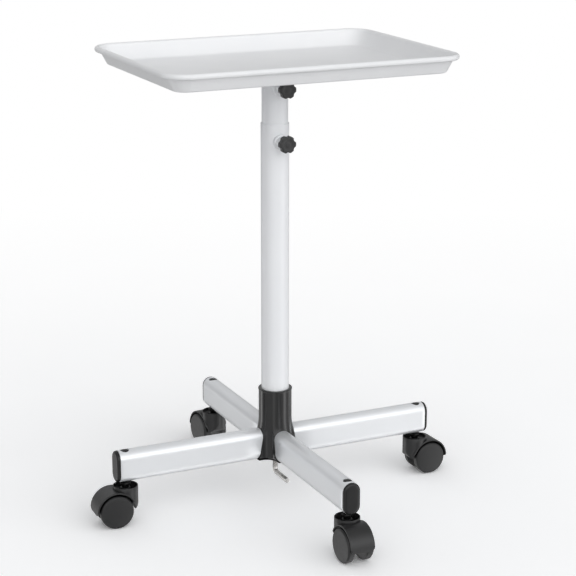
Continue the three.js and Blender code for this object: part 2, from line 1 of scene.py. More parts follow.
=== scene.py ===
# A height-adjustable tray stand: a shallow rounded tray on a telescoping post with two star
# knobs, held in a hub with four flat-oval arms, each on a twin-wheel caster.
# The post stands on the Z axis and the wheels touch z = 0. The arms lie along X and Y, with
# front towards -Y and right towards +X. Shapes are worked out in mm and meshed in metres.
import bmesh
import bpy
import json
import math
import numpy as np
from mathutils import Vector, Matrix


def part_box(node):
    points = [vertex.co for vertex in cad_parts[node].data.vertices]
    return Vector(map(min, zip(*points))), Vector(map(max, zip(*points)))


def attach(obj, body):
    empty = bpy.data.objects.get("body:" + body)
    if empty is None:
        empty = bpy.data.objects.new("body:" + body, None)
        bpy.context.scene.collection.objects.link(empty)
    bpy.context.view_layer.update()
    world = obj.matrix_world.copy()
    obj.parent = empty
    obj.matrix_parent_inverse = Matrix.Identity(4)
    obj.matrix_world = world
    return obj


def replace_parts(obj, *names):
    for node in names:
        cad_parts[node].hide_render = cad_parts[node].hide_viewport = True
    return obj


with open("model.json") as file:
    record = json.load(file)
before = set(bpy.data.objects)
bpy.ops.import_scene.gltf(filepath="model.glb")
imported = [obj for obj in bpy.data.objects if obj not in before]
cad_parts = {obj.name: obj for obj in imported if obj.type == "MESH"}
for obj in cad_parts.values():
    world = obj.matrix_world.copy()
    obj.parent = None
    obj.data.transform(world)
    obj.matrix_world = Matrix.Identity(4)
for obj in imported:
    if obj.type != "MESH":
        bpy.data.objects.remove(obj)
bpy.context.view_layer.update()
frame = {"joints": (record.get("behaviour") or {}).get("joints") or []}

scene = bpy.context.scene
MM = 0.001

# each arm's direction, in degrees about Z from +X
ARM_ANGLES = {"front": 270, "right": 0, "back": 90, "left": 180}

# sizes shared between pieces
LOWER_TUBE_R = 21.0
UPPER_TUBE_R = 19.5
ARM_WIDTH, ARM_HEIGHT = 27.3, 49.0
ARM_Z = 91.4                # height of the arms' centre line
ARM_TOP = ARM_Z + ARM_HEIGHT / 2
ARM_WALL = 2.0
ARM_GAP = 0.3               # clearance round the arm's neighbours


# ------------------------------------------------------------------ frame places
def box(node):
    """low and high corners of a frame piece"""
    low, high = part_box(node)
    return np.array(low) * 1000.0, np.array(high) * 1000.0


def heights(node):
    low, high = box(node)
    return low[2], high[2]


def centre(node):
    low, high = box(node)
    return (low + high) / 2


def reach(node):
    """how far a piece extends along X or Y from the post axis"""
    low, high = box(node)
    return max(abs(edge) for edge in (*low[:2], *high[:2]))


def joint_place(name):
    """x and y of a joint"""
    place = next(joint for joint in frame["joints"] if joint["name"] == name)["pos_m"]
    return place[0] * 1000, place[1] * 1000


# ------------------------------------------------------------------ mesh helpers
# A solid is a pair (verts, faces).
def new_object(name, solid):
    verts, faces = solid
    mesh = bpy.data.meshes.new(name)
    mesh.from_pydata([tuple(float(c) * MM for c in vert) for vert in verts], [], faces)
    edit = bmesh.new()
    edit.from_mesh(mesh)
    bmesh.ops.remove_doubles(edit, verts=edit.verts, dist=1e-7)
    bmesh.ops.recalc_face_normals(edit, faces=edit.faces)
    edit.to_mesh(mesh)
    edit.free()
    obj = bpy.data.objects.new(name, mesh)
    scene.collection.objects.link(obj)
    return obj


def shade_smooth(obj, sharp):
    """smooth shading, with edges over sharp degrees kept crisp"""
    mesh = obj.data
    mesh.polygons.foreach_set("use_smooth", [True] * len(mesh.polygons))
    mesh.set_sharp_from_angle(angle=math.radians(sharp))
    mesh.update()


def make(name, solid, finish, body=None, sharp=32.0):
    """an object in one of the FINISHES; with a body, it also rides on it"""
    slot, material = FINISHES[finish]
    obj = new_object(name, solid)
    shade_smooth(obj, sharp)
    obj.data.materials.append(material)
    if body:
        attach(obj, body)
    return obj


def apply_modifiers(obj):
    bpy.context.view_layer.update()
    depsgraph = bpy.context.evaluated_depsgraph_get()
    mesh = bpy.data.meshes.new_from_object(
        obj.evaluated_get(depsgraph), preserve_all_data_layers=True, depsgraph=depsgraph)
    old = obj.data
    obj.modifiers.clear()
    obj.data = mesh
    mesh.name = obj.name
    bpy.data.meshes.remove(old)


def boolean(obj, solids, operation="DIFFERENCE", sharp=32.0):
    """cut, join or intersect the solids one after another"""
    for solid in solids:
        tool = new_object("cutter", solid)
        modifier = obj.modifiers.new("b", "BOOLEAN")
        modifier.operation = operation
        modifier.solver = "EXACT"
        modifier.object = tool
        apply_modifiers(obj)
        bpy.data.objects.remove(tool)
    shade_smooth(obj, sharp)


def ring_mesh(rings, cap_start=True, cap_end=True, loop=False):
    """quads through rings of equal length; loop joins the last ring to the first"""
    sides, count = len(rings[0]), len(rings)
    verts = [tuple(point) for ring in rings for point in ring]
    faces = []
    for k in range(count if loop else count - 1):
        this, following = k * sides, ((k + 1) % count) * sides
        for i in range(sides):
            j = (i + 1) % sides
            faces.append((this + i, this + j, following + j, following + i))
    if not loop:
        if cap_start:
            faces.append(tuple(range(sides - 1, -1, -1)))
        if cap_end:
            faces.append(tuple(range((count - 1) * sides, count * sides)))
    return verts, faces


def fillet(points, closed=False, seg=5):
    """[(x, y, rounding)] as a polyline with its corners rounded in seg steps"""
    places = [np.array(point[:2], float) for point in points]
    roundings = [point[2] if len(point) > 2 else 0.0 for point in points]
    out, count = [], len(places)
    for i, corner in enumerate(places):
        if roundings[i] <= 0 or (not closed and i in (0, count - 1)):
            out.append(corner)
            continue
        back, ahead = places[i - 1] - corner, places[(i + 1) % count] - corner
        back_length, ahead_length = np.linalg.norm(back), np.linalg.norm(ahead)
        back, ahead = back / back_length, ahead / ahead_length
        angle = math.acos(max(-1, min(1, float(back @ ahead))))
        setback = roundings[i] / math.tan(angle / 2)
        setback = min(setback, back_length * 0.49, ahead_length * 0.49)
        radius = setback * math.tan(angle / 2)
        inward = (back + ahead) / np.linalg.norm(back + ahead)
        middle = corner + inward * (radius / math.sin(angle / 2))
        start = math.atan2(*(corner + back * setback - middle)[::-1])
        end = math.atan2(*(corner + ahead * setback - middle)[::-1])
        sweep = (end - start + math.pi) % (2 * math.pi) - math.pi
        for k in range(seg + 1):
            turn = start + sweep * k / seg
            out.append(middle + radius * np.array([math.cos(turn), math.sin(turn)]))
    return out


def turns(sides):
    """angles once round a circle"""
    return np.arange(sides) * 2 * np.pi / sides


def round_ring(radius, z, sides):
    """ring about Z; radius is one value or one for each side"""
    turn = turns(sides)
    radius = np.broadcast_to(np.asarray(radius, float), (sides,))
    return np.stack([radius * np.cos(turn), radius * np.sin(turn), np.full(sides, z)], 1)


def round_rings(profile, sides):
    return [round_ring(radius, z, sides) for radius, z in profile]


def lathe(profile, sides=64, closed=False):
    """solid about Z from (radius, z) points: a closed loop, or a line from axis to axis"""
    if closed:
        return ring_mesh(round_rings(profile, sides), loop=True)
    skin = [point for point in profile if point[0] > 1e-6]
    verts, faces = ring_mesh(round_rings(skin, sides), cap_start=False, cap_end=False)
    last = (len(skin) - 1) * sides
    for end, z, base in ((0, profile[0][1], 0), (1, profile[-1][1], last)):
        tip = len(verts)
        verts.append((0.0, 0.0, z))
        for i in range(sides):
            j = (i + 1) % sides
            faces.append((tip, base + i, base + j) if end else (tip, base + j, base + i))
    return verts, faces


def placed(solid, matrix):
    verts, faces = solid
    points = np.array([tuple(vert) for vert in verts], float)
    return points @ np.array(matrix.to_3x3()).T + np.array(matrix.translation), faces


def shift(x=0, y=0, z=0):
    return Matrix.Translation((x, y, z))


def turn_z(degrees):
    return Matrix.Rotation(math.radians(degrees), 4, "Z")


def turn_x(degrees):
    return Matrix.Rotation(math.radians(degrees), 4, "X")


def cylinder(radius, low, high, sides=64, matrix=Matrix.Identity(4)):
    outline = [(0, low), (radius, low), (radius, high), (0, high)]
    return placed(lathe(outline, sides), matrix)


def prism(outline, half_width):
    """an (x, z) outline drawn out along Y"""
    count = len(outline)
    verts = [(x, y, z) for y in (-half_width, half_width) for x, z in outline]
    faces = [tuple(range(count)), tuple(range(2 * count - 1, count - 1, -1))]
    for i in range(count):
        j = (i + 1) % count
        faces.append((i, i + count, j + count, j))
    return verts, faces


def rounded_rectangle(middle, arc_reach, radius, z, arc_points, side_points=0):
    """ring whose corner arcs are centred arc_reach (x, y) out from the middle"""
    signs = ((1, 1), (-1, 1), (-1, -1), (1, -1))

    def arc_point(corner, degrees):
        sign_x, sign_y = signs[corner % 4]
        angle = math.radians(degrees)
        return np.array((middle[0] + sign_x * arc_reach[0] + radius * math.cos(angle),
                         middle[1] + sign_y * arc_reach[1] + radius * math.sin(angle), z))

    points = []
    for corner in range(4):
        for i in range(arc_points):
            points.append(arc_point(corner, 90 * corner + 90.0 * i / (arc_points - 1)))
        start = points[-1]
        end = arc_point(corner + 1, 90 * ((corner + 1) % 4))
        for k in range(1, side_points + 1):
            points.append(start + (end - start) * k / (side_points + 1))
    return points


def smooth_min(first, second, blend):
    """the smaller of two values, with a soft change over of width blend"""
    share = np.clip(0.5 + 0.5 * (second - first) / blend, 0, 1)
    return second + (first - second) * share - blend * share * (1 - share)


def scallop(angle, distance, radius, clear):
    """radius at which rays meet a round notch centred at distance; clear where they miss it"""
    square = radius ** 2 - (distance * np.sin(angle)) ** 2
    edge = distance * np.cos(angle) - np.sqrt(np.maximum(square, 0))
    return np.where(square > 0, edge, clear)


# ------------------------------------------------------------------ shader helpers
def feed(tree, node, inputs):
    """inputs: {name or index: a socket to link, or a value to set}"""
    for key, source in inputs.items():
        if isinstance(source, bpy.types.NodeSocket):
            tree.links.new(source, node.inputs[key])
        else:
            node.inputs[key].default_value = source


def add(tree, kind, inputs=None, **settings):
    node = tree.nodes.new("ShaderNode" + kind)
    for key, value in settings.items():
        setattr(node, key, value)
    feed(tree, node, inputs or {})
    return node


def new_material(name):
    material = bpy.data.materials.new(name)
    material.use_nodes = True
    tree = material.node_tree
    tree.nodes.clear()
    output = add(tree, "OutputMaterial")
    shader = add(tree, "BsdfPrincipled")
    feed(tree, output, {"Surface": shader.outputs["BSDF"]})
    return material, tree, shader, output


def noise(tree, scale, detail=3.0, rough=0.5, stretch=(1, 1, 1), seed=0.0):
    place = add(tree, "TexCoord").outputs["Object"]
    mapping = add(tree, "Mapping", {
        "Scale": stretch, "Location": (seed, seed * 1.7, seed * 0.3), "Vector": place})
    texture = add(tree, "TexNoise", {
        "Scale": scale, "Detail": detail, "Roughness": rough,
        "Vector": mapping.outputs["Vector"]})
    return texture.outputs["Fac"]


def remap(tree, value, low, high, start=0.3, end=0.7):
    """value from start..end to low..high"""
    return add(tree, "MapRange", {
        "From Min": start, "From Max": end, "To Min": low, "To Max": high,
        "Value": value}).outputs["Result"]


def mix_colour(tree, factor, first, second):
    """first and second are colour tuples or sockets"""
    first, second = [(*c, 1) if isinstance(c, tuple) else c for c in (first, second)]
    # 6 and 7 are the colour inputs of the node, and 2 its colour output
    return add(tree, "Mix", {0: factor, 6: first, 7: second}, data_type="RGBA").outputs[2]


def maths(tree, operation, first, second):
    return add(tree, "Math", {0: first, 1: second}, operation=operation).outputs[0]


def vector(tree, operation, inputs, output="Vector"):
    return add(tree, "VectorMath", inputs, operation=operation).outputs[output]


def mix_shader(tree, factor, first, second):
    return add(tree, "MixShader", {0: factor, 1: first, 2: second}).outputs[0]


def bump(tree, shader, fine, mid, mid_weight, strength, distance):
    """fine and mid noise summed into one bump; distance in metres"""
    height = maths(tree, "ADD", maths(tree, "MULTIPLY", fine, 1.0),
                   maths(tree, "MULTIPLY", mid, mid_weight))
    node = add(tree, "Bump", {"Strength": strength, "Distance": distance, "Height": height})
    feed(tree, shader, {"Normal": node.outputs["Normal"]})


# ------------------------------------------------------------------ materials
def plastic(name, seed, base, varied, rough, grain_mm, grain, specular=0.5, coat=0.0,
            rough_spread=0.04, crevice_shade=0.0):
    """moulded plastic between two colours, with grain of size grain_mm and bump strength grain;
    the last argument is how far, in metres, painted shade darkens narrow gaps and dims their
    shine"""
    material, tree, shader, _ = new_material(name)
    broad = noise(tree, scale=14, detail=2.0, seed=seed)
    fine = noise(tree, scale=1000.0 / grain_mm, detail=2.0, rough=0.6, seed=seed + 3)
    mid = noise(tree, scale=220, rough=0.55, seed=seed + 5)
    colour = mix_colour(tree, remap(tree, broad, 0, 1), base, varied)
    feed(tree, shader, {
        "Specular IOR Level": specular, "Coat Weight": coat, "Coat Roughness": 0.25})
    # painted shade: ambient occlusion darkens the colour towards black and lowers the specular
    # in narrow gaps and crevices
    if crevice_shade > 0:
        occlusion = add(tree, "AmbientOcclusion", {"Distance": crevice_shade}, samples=8).outputs["AO"]
        openness = remap(tree, occlusion, 0.0, 1.0, start=0.2, end=0.7)
        colour = mix_colour(tree, openness, (0.004, 0.004, 0.004), colour)
        shine = remap(tree, occlusion, 0.05, specular, start=0.2, end=0.7)
        feed(tree, shader, {"Specular IOR Level": shine})
    roughness = remap(tree, mid, rough - rough_spread, rough + rough_spread)
    feed(tree, shader, {"Base Color": colour, "Roughness": roughness})
    bump(tree, shader, fine, mid, mid_weight=0.35, strength=grain, distance=0.00012)
    return material


def metal(name, seed, base, varied, rough, metallic, line_mm, line, stretch=(1, 1, 1)):
    """metal between two colours, with lines of width line_mm and bump strength line;
    stretch is small along the grain and 1 across it"""
    material, tree, shader, _ = new_material(name)
    broad = noise(tree, scale=9, detail=2.0, seed=seed)
    lines = noise(tree, scale=1000.0 / line_mm, rough=0.6, stretch=stretch, seed=seed + 2)
    mid = noise(tree, scale=120, rough=0.55, stretch=tuple(0.3 + 0.7 * s for s in stretch),
                seed=seed + 4)
    feed(tree, shader, {
        "Base Color": mix_colour(tree, remap(tree, broad, 0, 1), base, varied),
        "Roughness": remap(tree, lines, rough - 0.05, rough + 0.05),
        "Metallic": metallic})
    bump(tree, shader, lines, mid, mid_weight=0.3, strength=line, distance=0.00008)
    return material


# finish: (slot, material)
FINISHES = {
    "tray": ("tray_white", plastic(
        "tray_white_plastic", seed=1, base=(0.86, 0.865, 0.875), varied=(0.835, 0.842, 0.855),
        rough=0.34, grain_mm=1.4, grain=0.10, coat=0.15)),
    "post": ("post_silver", metal(
        "post_satin_silver", seed=2, base=(0.87, 0.88, 0.897), varied=(0.85, 0.86, 0.88),
        rough=0.45, metallic=0.12, stretch=(1, 1, 0.02), line_mm=0.5, line=0.10)),
    "arm_x": ("arm_silver", metal(
        "arm_satin_silver_x", seed=3, base=(0.865, 0.88, 0.90), varied=(0.84, 0.855, 0.875),
        rough=0.36, metallic=0.40, stretch=(0.02, 1, 1), line_mm=0.5, line=0.12)),
    # the Y arms' copy has a slightly darker base colour as painted shade, for arms facing away
    # from the light; its grain runs along Y
    "arm_y": ("arm_silver", metal(
        "arm_satin_silver_y_painted_shade", seed=4, base=(0.845, 0.86, 0.88), varied=(0.82, 0.835, 0.855),
        rough=0.36, metallic=0.40, stretch=(1, 0.02, 1), line_mm=0.5, line=0.12)),
    "boss": ("satin_silver", metal(
        "boss_satin_silver", seed=5, base=(0.83, 0.84, 0.855), varied=(0.80, 0.81, 0.83),
        rough=0.38, metallic=0.35, line_mm=0.6, line=0.08)),
    "black": ("black_plastic", plastic(
        "black_moulded_plastic", seed=6, base=(0.015, 0.015, 0.0155),
        varied=(0.019, 0.019, 0.0195), rough=0.17, rough_spread=0.02, grain_mm=0.45,
        grain=0.06)),
    "knob": ("black_plastic", plastic(
        "knob_black_plastic", seed=7, base=(0.021, 0.021, 0.0215),
        varied=(0.026, 0.026, 0.0265), rough=0.42, grain_mm=0.45, grain=0.25)),
    "cap": ("black_plastic", plastic(
        "end_cap_black_plastic", seed=8, base=(0.016, 0.016, 0.0165),
        varied=(0.020, 0.020, 0.0205), rough=0.22, grain_mm=0.5, grain=0.12, specular=0.30)),
    "plug": ("black_plastic", plastic(
        "plug_black_plastic", seed=12, base=(0.012, 0.012, 0.0125),
        varied=(0.015, 0.015, 0.0155), rough=0.42, grain_mm=0.5, grain=0.15, specular=0.25)),
    # the hood and wheel materials carry painted shade in their narrow gaps, through the last
    # argument of plastic()
    "hood": ("caster_plastic", plastic(
        "caster_black_plastic", seed=9, base=(0.016, 0.016, 0.0165),
        varied=(0.020, 0.020, 0.0205), rough=0.36, grain_mm=0.5, grain=0.22, specular=0.46,
        crevice_shade=0.012)),
    "wheel": ("wheel_plastic", plastic(
        "wheel_black_nylon", seed=10, base=(0.0165, 0.0165, 0.017),
        varied=(0.020, 0.020, 0.0205), rough=0.42, grain_mm=0.7, grain=0.15, specular=0.42,
        crevice_shade=0.010)),
    "dark_steel": ("plated_steel", metal(
        "black_plated_steel", seed=13, base=(0.03, 0.03, 0.03), varied=(0.022, 0.022, 0.022),
        rough=0.46, metallic=1.0, line_mm=1.2, line=0.10)),
    "steel": ("plated_steel", metal(
        "zinc_plated_steel", seed=11, base=(0.72, 0.71, 0.69), varied=(0.62, 0.61, 0.60),
        rough=0.28, metallic=1.0, line_mm=1.2, line=0.10)),
}


# ------------------------------------------------------------------ tray
# Turned profiles are (radius, z, rounding of the corner).
RIM_BEAD_R = 4.2
TRAY_CORNER_R = 37.7
RIM_TO_FLOOR = 21.1         # from the bead's centre down to the floor's upper face
RIM_TO_UNDERSIDE = 23.1


def screw_places():
    """the four tray screws stand alike about the post axis"""
    x, y = abs(centre("tray_screw_back_right"))[:2]
    return [shift(sign_x * x, sign_y * y, 0) for sign_x in (-1, 1) for sign_y in (-1, 1)]


def tray():
    low, high = box("tray")
    half_x, half_y = (high[0] - low[0]) / 2, (high[1] - low[1]) / 2
    bead_z = high[2] - RIM_BEAD_R
    floor, underside = bead_z - RIM_TO_FLOOR, bead_z - RIM_TO_UNDERSIDE
    # wall section as (inset from the rim, z), from the floor over the bead to the underside
    section = [(70.0, floor)]
    section += fillet([(40, floor), (19.9, floor, 6.0), (8.9, bead_z - 0.9)], seg=8)
    for angle in np.radians(np.linspace(168, -108, 30)):
        section.append((RIM_BEAD_R - RIM_BEAD_R * math.cos(angle),
                        bead_z + RIM_BEAD_R * math.sin(angle)))
    section += fillet([(8.25, bead_z - 3.9, 0.8), (18.6, underside, 4.0), (40, underside)],
                      seg=7)
    section.append((70.0, underside))
    rings = []
    for inset, z in section:
        radius = max(TRAY_CORNER_R - inset, 5.0)
        arc_reach = (half_x - inset - radius, half_y - inset - radius)
        rings.append(rounded_rectangle(centre("tray"), arc_reach, radius, z,
                                       arc_points=26, side_points=5))
    shell = make("tray_shell", ring_mesh(rings), "tray", "tray_top", sharp=40)
    # blind screw bosses under the floor
    foot = low[2]
    boss = lathe(fillet([
        (0, foot), (4.5, foot, 0.5), (4.5, underside - 0.2, 0.8), (5.6, underside + 0.6),
        (0, underside + 0.6)], seg=3), 32)
    places = screw_places()
    boolean(shell, [placed(boss, place) for place in places], "UNION", sharp=40)
    boolean(shell, [cylinder(2.3, foot - 1, underside, 24, place) for place in places],
            sharp=40)
    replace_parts(shell, "tray")


def tray_mount():
    """square plate under the tray with a round socket below it"""
    low, high = box("tray_mount")
    bottom, top = high[2] - 3.0, high[2]
    corner_r = 12.0
    arc_reach = (high[0] - low[0]) / 2 - corner_r
    # (inset, z)
    section = [(0.5, bottom), (0.15, bottom + 0.15), (0, bottom + 0.5),
               (0, top - 0.5), (0.15, top - 0.15), (0.5, top)]
    rings = [rounded_rectangle((0, 0), (arc_reach, arc_reach), corner_r - inset, z,
                               arc_points=12) for inset, z in section]
    plate = make("tray_mount_plate", ring_mesh(rings), "boss", "tray_top")
    foot = low[2]
    bore, outside = 15.6, 17.6
    socket = lathe(fillet([
        (bore, foot, 0.4), (outside, foot, 0.4), (outside, bottom + 0.5),
        (bore, bottom + 0.5)], closed=True, seg=4), 96, closed=True)
    boolean(plate, [socket], "UNION")
    boolean(plate, [cylinder(2.4, bottom - 2, top + 1, 24, place) for place in screw_places()])
    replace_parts(plate, "tray_mount")


def recess_bar(z):
    """one bar of a screw's cross recess, tapering upwards into the head"""
    verts = []
    for half_x, half_y, height in ((2.0, 0.42, z - 1), (1.0, 0.3, z + 1.3)):
        verts += [(-half_x, -half_y, height), (half_x, -half_y, height),
                  (half_x, half_y, height), (-half_x, half_y, height)]
    faces = [(3, 2, 1, 0), (4, 5, 6, 7), (0, 1, 5, 4), (1, 2, 6, 5), (2, 3, 7, 6), (3, 0, 4, 7)]
    return verts, faces


def tray_screws():
    for corner in ("front_left", "front_right", "back_left", "back_right"):
        node = "tray_screw_" + corner
        x, y, _ = centre(node)
        head, tip = heights(node)
        screw = lathe(fillet([
            (0, head), (2.6, head, 1.0), (3.9, head + 1.2, 0.4), (3.9, head + 2.4, 0.2),
            (1.9, head + 2.4, 0.2), (1.9, tip - 1.2, 0.3), (0.6, tip), (0, tip)], seg=4), 36)
        place = shift(x, y, 0)
        obj = make("mount_screw_" + corner, placed(screw, place), "steel", "tray_top")
        boolean(obj, [placed(recess_bar(head), place @ turn_z(angle)) for angle in (20, 110)])
        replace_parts(obj, node)


# ------------------------------------------------------------------ post
STUD_HOLE_R = 4.5


def post_tube(name, node, body, radius, bore, top_rounding, stud):
    bottom, top = heights(node)
    corners = fillet([(bore, bottom, 0.27), (radius, bottom, 0.36), (radius, top, top_rounding),
                      (bore, top, 0.15)], closed=True, seg=5)
    # extra rings along the straight runs
    profile = []
    for i, point in enumerate(corners):
        following = corners[(i + 1) % len(corners)]
        profile.append(point)
        if abs(following[1] - point[1]) > 100:
            profile += [point + (following - point) * k / 8 for k in range(1, 8)]
    tube = make(name, lathe(profile, 128, closed=True), "post", body)
    place = shift(0, 0, centre(stud)[2]) @ turn_x(90)
    boolean(tube, [cylinder(STUD_HOLE_R, 10, 30, 32, place)])
    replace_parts(tube, node)


def post_glide():
    bottom, top = heights("post_glide")
    glide = lathe(fillet([
        (0, bottom), (19.55, bottom, 0.8), (19.55, bottom + 5.7, 0.3),
        (17.7, bottom + 5.7, 0.2), (17.7, top, 0.6), (15.0, top, 0.4),
        (15.0, bottom + 4, 0.8), (0, bottom + 4)], seg=4), 72)
    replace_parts(make("sliding_glide", glide, "black", "upper_post"), "post_glide")


def post_plug():
    bottom, top = heights("post_plug")
    plug = lathe(fillet([(4.3, bottom, 0.5), (19.45, bottom, 0.6), (19.45, top, 0.6),
                         (4.3, top, 0.5)], closed=True, seg=4), 72, closed=True)
    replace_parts(make("threaded_post_plug", plug, "steel", "base"), "post_plug")


# ------------------------------------------------------------------ knobs
# Knob parts are turned about Z and laid over, so that their z is the distance out to the front.
LOBES = 6
LOBE_NOTCH_R, LOBE_NOTCH_AT = 4.9, 16.1
KNOB_SIDES = 240
KNOB_BACK, KNOB_NECK_BACK = 38.0, 31.6
# shallow dish in the face with a raised centre: (radius, depth)
KNOB_DISH = [(8.0, 0.03), (7.6, 0.15), (7.1, 0.42), (6.5, 0.5), (4.2, 0.5), (3.7, 0.42),
             (3.2, 0.2), (2.6, 0.12)]


def knob_head(which, body, place):
    node = which + "_star_knob"
    low, high = box(node)
    face = -low[1]
    step = 2 * np.pi / LOBES
    angle = (turns(KNOB_SIDES) - step / 2) % step
    angle = np.minimum(angle, step - angle)     # from the nearest notch
    notches = scallop(angle, LOBE_NOTCH_AT, LOBE_NOTCH_R, clear=30.0)
    outline = smooth_min(np.full(KNOB_SIDES, (high[0] - low[0]) / 2), notches, 0.55)

    neck = fillet([(4.2, KNOB_NECK_BACK), (7.0, KNOB_NECK_BACK, 0.5), (7.0, KNOB_BACK, 0.9),
                   (9.5, KNOB_BACK)], seg=4)
    rings = round_rings(neck, KNOB_SIDES)
    # (inset from the lobed outline, z)
    for inset, z in fillet([(2.6, KNOB_BACK), (0, KNOB_BACK, 0.9), (0, face - 0.5, 1.3),
                            (1.7, face, 0.6), (3.0, face)], seg=6):
        rings.append(round_ring(outline - inset, z, KNOB_SIDES))
    rings += round_rings([(radius, face - depth) for radius, depth in KNOB_DISH], KNOB_SIDES)
    head = make(which + "_knob_head", placed(ring_mesh(rings), place), "knob", body)
    boolean(head, [cylinder(4.1, KNOB_NECK_BACK - 1, 44.2, 32, place)])
    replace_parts(head, node)


def knob_stud(which, body, place):
    node = which + "_knob_stud"
    tip = -box(node)[1][1]
    stud = lathe(fillet([(0, tip), (3.0, tip, 0.2), (3.9, tip + 0.9, 0.2), (3.9, 44.0, 0.3),
                         (0, 44.0)], seg=3), 40)
    obj = make(which + "_threaded_stud", placed(stud, place), "steel", body)
    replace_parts(obj, node)


def knob_boss(which, body, place, tube_r, stud_z):
    """flange lying on the tube, with a neck out to the knob"""
    node = which + "_knob_boss"
    face = -box(node)[0][1]
    boss = lathe(fillet([
        (4.3, tube_r - 4), (11.5, tube_r - 4), (11.5, tube_r + 3.0, 1.5),
        (8.7, tube_r + 3.6, 1.0), (8.5, face, 0.9), (4.3, face, 0.5)],
        closed=True, seg=6), 80, closed=True)
    obj = make(which + "_boss", placed(boss, place), "boss", body)
    boolean(obj, [cylinder(tube_r - 0.05, stud_z - 30, stud_z + 30, 160)])
    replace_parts(obj, node)


def knob(which, body, boss_body, tube_r):
    stud_z = centre(which + "_knob_stud")[2]
    place = shift(0, 0, stud_z) @ turn_x(90)
    knob_head(which, body, place)
    knob_stud(which, body, place)
    knob_boss(which, boss_body, place, tube_r, stud_z)


# ------------------------------------------------------------------ hub
HUB_SIDES = 360
HUB_R = 25.3                # the straight upper part
# radius of the hub's flare at each height, before smoothing
FLARE_Z = [60, 69.5, 80, 95, 106, 116, 124, 128, 132, 140]
FLARE_R = [36.4, 34.9, 33.2, 30.8, 29.2, 26.9, 25.62, 25.35, HUB_R, HUB_R]


def flare_radius(height):
    return sum(np.interp(height + k, FLARE_Z, FLARE_R) for k in (-4, -2, 0, 2, 4)) / 5


def hub():
    bottom, top = heights("cross_hub")
    web_bottom, tongue_top, seat = bottom + 5.7, bottom + 1.1, bottom + 53.0
    angle = (turns(HUB_SIDES) - np.pi / 4) % (np.pi / 2)
    angle = np.minimum(angle, np.pi / 2 - angle)        # from the nearest diagonal
    web_notch = scallop(angle, 39.8, 14.4, clear=90.0)
    tongue_notch = scallop(angle, 38.0, 19.0, clear=90.0)

    def webs(height):
        """the flare, notched on the diagonals to leave a web towards each arm"""
        flare = np.full(HUB_SIDES, flare_radius(height))
        return smooth_min(flare, np.maximum(web_notch, 25.1), 1.3)

    # recess in the underside, bore, post socket and top rim
    profile = fillet([
        (13.0, bottom, 0.4), (13.0, bottom + 12.5, 0.5), (4.6, bottom + 12.5, 0.3),
        (4.6, seat, 0.3), (21.3, seat, 0.5), (21.3, top, 0.8), (25.9, top, 1.0),
        (25.9, top - 2.2, 0.7), (HUB_R, top - 2.9, 0.6), (HUB_R, top - 8)], seg=4)
    profile += [(HUB_R, z) for z in np.linspace(top - 12, 132.0, 8)]
    profile += [(webs(z), z) for z in np.linspace(131.0, web_bottom + 1.2, 50)]
    # rounded lower edge of the webs: (inset, rise)
    web_edge = webs(web_bottom)
    for inset, rise in ((0.1, 0.75), (0.35, 0.32), (0.8, 0.08), (1.3, 0.0)):
        profile.append((web_edge - inset, web_bottom + rise))
    # in under the webs, then out along four short tongues
    tongues = smooth_min(np.full(HUB_SIDES, 31.5), tongue_notch, 1.5)
    tongue_edge = np.maximum(tongues, 18.9)
    profile += [
        (19.0, web_bottom), (18.8, tongue_top + 0.3),
        (np.maximum(np.minimum(tongues, 19.2), 18.6), tongue_top),
        (np.maximum(tongue_edge - 0.5, 18.9), tongue_top), (tongue_edge, tongue_top - 0.35),
        (tongue_edge, bottom + 0.4), (tongue_edge - 0.4, bottom)]
    rings = round_rings(profile, HUB_SIDES)
    obj = make("cross_hub_body", ring_mesh(rings, loop=True), "black", "base", sharp=38)
    # spigots inside the arms: (distance out, inset)
    stations = ((24.6, 2.3), (56.6, 2.3), (57.4, 2.7), (58.0, 3.6))
    spigot = ring_mesh([oval_ring(x, inset, 20) for x, inset in stations])
    boolean(obj, [placed(spigot, turn_z(angle)) for angle in (0, 90, 180, 270)], "UNION",
            sharp=38)
    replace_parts(obj, "cross_hub")


# ------------------------------------------------------------------ arms
# Arm parts are built along +X and turned into place.
def oval_ring(x, inset, arc_points=26, end_shape=None):
    """upright flat oval across X, inset from the arm's surface; end_shape(y, z) adds to x"""
    width, height = ARM_WIDTH - 2 * inset, ARM_HEIGHT - 2 * inset
    radius, straight = width / 2, height / 2 - width / 2
    outline = []
    for sign, start in ((1, 0.0), (-1, math.pi)):
        for i in range(arc_points):
            angle = start + math.pi * i / (arc_points - 1)
            outline.append((radius * math.cos(angle),
                            sign * straight + radius * math.sin(angle)))
        for k in range(1, 6):
            outline.append((-sign * radius, sign * (straight - 2 * straight * k / 6)))
    return [(x if end_shape is None else end_shape(y, z) + x, y, ARM_Z + z)
            for y, z in outline]


def hub_face(y, z):
    """x of the arm's inner end, which follows the hub's flare"""
    radius = float(flare_radius(ARM_Z + z)) + ARM_GAP
    return math.sqrt(max(radius * radius - y * y, 1.0))


